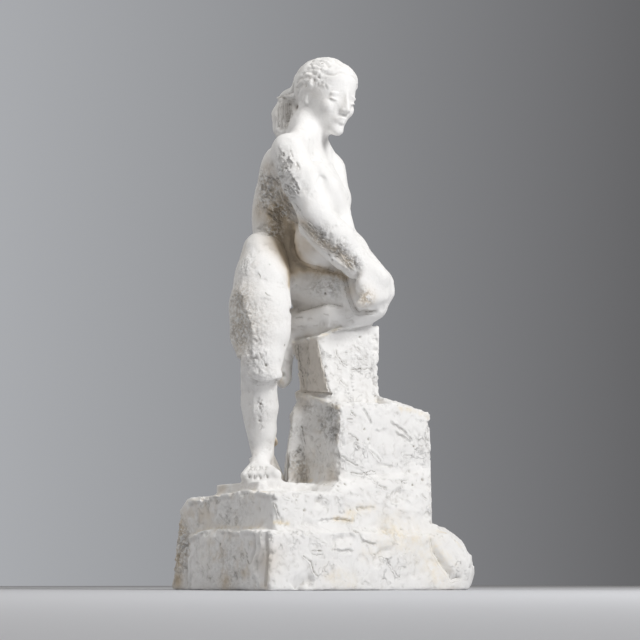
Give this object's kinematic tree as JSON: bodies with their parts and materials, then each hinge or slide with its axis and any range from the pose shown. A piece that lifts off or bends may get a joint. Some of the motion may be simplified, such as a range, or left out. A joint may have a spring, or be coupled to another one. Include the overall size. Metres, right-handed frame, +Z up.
{
  "type": "plaster statuette of a kneeling woman",
  "caption": "White plaster statuette of a nude woman with one knee on a stack of rough blocks, hands on the knee, cast in one with her stepped base.",
  "frame": {"origin": "floor level, in the middle of the base's footprint", "axes": "+Z up; the base's broad front faces -Y and its right side +X; the figure is turned 35 degrees from the base, so she faces between +X and -Y"},
  "size_m": [0.2186, 0.1726, 0.45],
  "materials": {
    "plaster": "matte"
  },
  "bodies": {
    "root": {"plaster_statuette": "plaster"}
  },
  "joints": []
}
